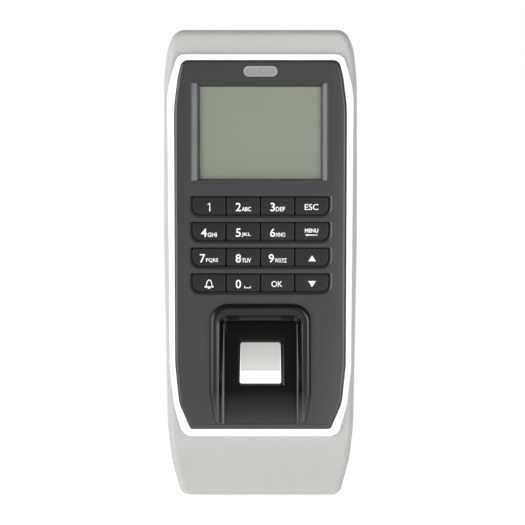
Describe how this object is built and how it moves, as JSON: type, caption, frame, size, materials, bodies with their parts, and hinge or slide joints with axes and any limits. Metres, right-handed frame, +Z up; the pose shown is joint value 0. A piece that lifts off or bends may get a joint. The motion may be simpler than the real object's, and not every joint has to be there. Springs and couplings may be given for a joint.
{
  "type": "fingerprint scanner terminal",
  "caption": "Tall wall-mounted access terminal with a screen, a keypad and a sloping finger bay below, in a grey case with a white trim ring.",
  "frame": {"origin": "centre of the wall face, the back of the steel wall plate, halfway up the case and on its centre line", "axes": "+X to the right seen from the front, +Z up along the case, +Y into the wall, so the front faces -Y"},
  "size_m": [0.0778, 0.0412, 0.1868],
  "materials": {
    "zinc_steel": "zinc-plated sheet steel",
    "dark_plastic": "fine-textured charcoal moulded plastic",
    "grey_plastic": "satin pale grey paint on moulded plastic",
    "seal_rubber": "closed-cell foam rubber",
    "white_gloss": "polished white moulded plastic",
    "black_plastic": "satin charcoal moulded plastic",
    "gloss_black": "polished black moulded plastic",
    "display_glass": "clear acrylic with a faint green tint",
    "display_panel": "grey-green liquid crystal film, switched off",
    "light_guide": "opal white acrylic",
    "tin_steel": "tin-plated sheet steel",
    "indicator_lens": "frosted translucent plastic",
    "led_resin": "cast resin",
    "circuit_board": "green solder mask on glass epoxy",
    "screw_steel": "nickel-plated steel",
    "silicone": "moulded silicone",
    "sensor_glass": "polished optical glass with a bright backlight behind it",
    "ribbon_plastic": "polyimide flexible circuit",
    "chip_plastic": "black moulding compound",
    "relay_plastic": "blue moulded case",
    "jack_metal": "nickel-plated shield",
    "terminal_plastic": "green moulded terminal block",
    "can_aluminium": "bare aluminium can",
    "cell_steel": "stainless steel can",
    "key_plastic": "satin charcoal moulded plastic"
  },
  "bodies": {
    "case": {"wall_plate": "zinc_steel", "rear_cover": "dark_plastic", "main_housing": "grey_plastic", "housing_gasket": "seal_rubber", "trim_ring": "white_gloss", "front_fascia": "black_plastic", "finger_guide": "gloss_black", "display_window": "display_glass", "display_panel": "display_panel", "display_backlight": "light_guide", "display_frame": "tin_steel", "indicator_lens": "indicator_lens", "indicator_leds": "led_resin", "front_board": "circuit_board", "front_board_screws": "screw_steel", "key_mat": "silicone", "sensor_glass": "sensor_glass", "sensor_frame": "gloss_black", "sensor_body": "dark_plastic", "sensor_board": "circuit_board", "sensor_camera": "dark_plastic", "sensor_lamps": "led_resin", "sensor_screws": "screw_steel", "sensor_cable": "ribbon_plastic", "main_board": "circuit_board", "processor": "chip_plastic", "power_relay": "relay_plastic", "network_jack": "jack_metal", "memory_chips": "chip_plastic", "terminal_blocks": "terminal_plastic", "ribbon_sockets": "light_guide", "capacitors": "can_aluminium", "coin_cell_holder": "chip_plastic", "coin_cell": "cell_steel", "buzzer": "chip_plastic", "display_ribbon": "ribbon_plastic", "tamper_switch": "chip_plastic", "case_screws": "screw_steel", "main_board_screws": "screw_steel", "lock_screw": "screw_steel"},
    "key_1": {"key_1": "key_plastic"},
    "key_2": {"key_2": "key_plastic"},
    "key_3": {"key_3": "key_plastic"},
    "key_esc": {"key_esc": "key_plastic"},
    "key_4": {"key_4": "key_plastic"},
    "key_5": {"key_5": "key_plastic"},
    "key_6": {"key_6": "key_plastic"},
    "key_menu": {"key_menu": "key_plastic"},
    "key_7": {"key_7": "key_plastic"},
    "key_8": {"key_8": "key_plastic"},
    "key_9": {"key_9": "key_plastic"},
    "key_up": {"key_up": "key_plastic"},
    "key_bell": {"key_bell": "key_plastic"},
    "key_0": {"key_0": "key_plastic"},
    "key_ok": {"key_ok": "key_plastic"},
    "key_down": {"key_down": "key_plastic"},
    "tamper_plunger": {"tamper_plunger": "light_guide"}
  },
  "joints": [
    {"name": "key_1_press", "type": "slide", "parent": "case", "child": "key_1", "axis": [0, 1, 0], "range_m": [0, 0.0008], "stiffness_N_per_m": 500, "springref_m": -0.0005, "deforming": ["key_mat"]},
    {"name": "key_2_press", "type": "slide", "parent": "case", "child": "key_2", "axis": [0, 1, 0], "range_m": [0, 0.0008], "stiffness_N_per_m": 500, "springref_m": -0.0005, "deforming": ["key_mat"]},
    {"name": "key_3_press", "type": "slide", "parent": "case", "child": "key_3", "axis": [0, 1, 0], "range_m": [0, 0.0008], "stiffness_N_per_m": 500, "springref_m": -0.0005, "deforming": ["key_mat"]},
    {"name": "key_esc_press", "type": "slide", "parent": "case", "child": "key_esc", "axis": [0, 1, 0], "range_m": [0, 0.0008], "stiffness_N_per_m": 500, "springref_m": -0.0005, "deforming": ["key_mat"]},
    {"name": "key_4_press", "type": "slide", "parent": "case", "child": "key_4", "axis": [0, 1, 0], "range_m": [0, 0.0008], "stiffness_N_per_m": 500, "springref_m": -0.0005, "deforming": ["key_mat"]},
    {"name": "key_5_press", "type": "slide", "parent": "case", "child": "key_5", "axis": [0, 1, 0], "range_m": [0, 0.0008], "stiffness_N_per_m": 500, "springref_m": -0.0005, "deforming": ["key_mat"]},
    {"name": "key_6_press", "type": "slide", "parent": "case", "child": "key_6", "axis": [0, 1, 0], "range_m": [0, 0.0008], "stiffness_N_per_m": 500, "springref_m": -0.0005, "deforming": ["key_mat"]},
    {"name": "key_menu_press", "type": "slide", "parent": "case", "child": "key_menu", "axis": [0, 1, 0], "range_m": [0, 0.0008], "stiffness_N_per_m": 500, "springref_m": -0.0005, "deforming": ["key_mat"]},
    {"name": "key_7_press", "type": "slide", "parent": "case", "child": "key_7", "axis": [0, 1, 0], "range_m": [0, 0.0008], "stiffness_N_per_m": 500, "springref_m": -0.0005, "deforming": ["key_mat"]},
    {"name": "key_8_press", "type": "slide", "parent": "case", "child": "key_8", "axis": [0, 1, 0], "range_m": [0, 0.0008], "stiffness_N_per_m": 500, "springref_m": -0.0005, "deforming": ["key_mat"]},
    {"name": "key_9_press", "type": "slide", "parent": "case", "child": "key_9", "axis": [0, 1, 0], "range_m": [0, 0.0008], "stiffness_N_per_m": 500, "springref_m": -0.0005, "deforming": ["key_mat"]},
    {"name": "key_up_press", "type": "slide", "parent": "case", "child": "key_up", "axis": [0, 1, 0], "range_m": [0, 0.0008], "stiffness_N_per_m": 500, "springref_m": -0.0005, "deforming": ["key_mat"]},
    {"name": "key_bell_press", "type": "slide", "parent": "case", "child": "key_bell", "axis": [0, 1, 0], "range_m": [0, 0.0008], "stiffness_N_per_m": 500, "springref_m": -0.0005, "deforming": ["key_mat"]},
    {"name": "key_0_press", "type": "slide", "parent": "case", "child": "key_0", "axis": [0, 1, 0], "range_m": [0, 0.0008], "stiffness_N_per_m": 500, "springref_m": -0.0005, "deforming": ["key_mat"]},
    {"name": "key_ok_press", "type": "slide", "parent": "case", "child": "key_ok", "axis": [0, 1, 0], "range_m": [0, 0.0008], "stiffness_N_per_m": 500, "springref_m": -0.0005, "deforming": ["key_mat"]},
    {"name": "key_down_press", "type": "slide", "parent": "case", "child": "key_down", "axis": [0, 1, 0], "range_m": [0, 0.0008], "stiffness_N_per_m": 500, "springref_m": -0.0005, "deforming": ["key_mat"]},
    {"name": "tamper_plunger_press", "type": "slide", "parent": "case", "child": "tamper_plunger", "axis": [0, -1, 0], "range_m": [0, 0.0006], "stiffness_N_per_m": 300, "springref_m": -0.0005}
  ]
}
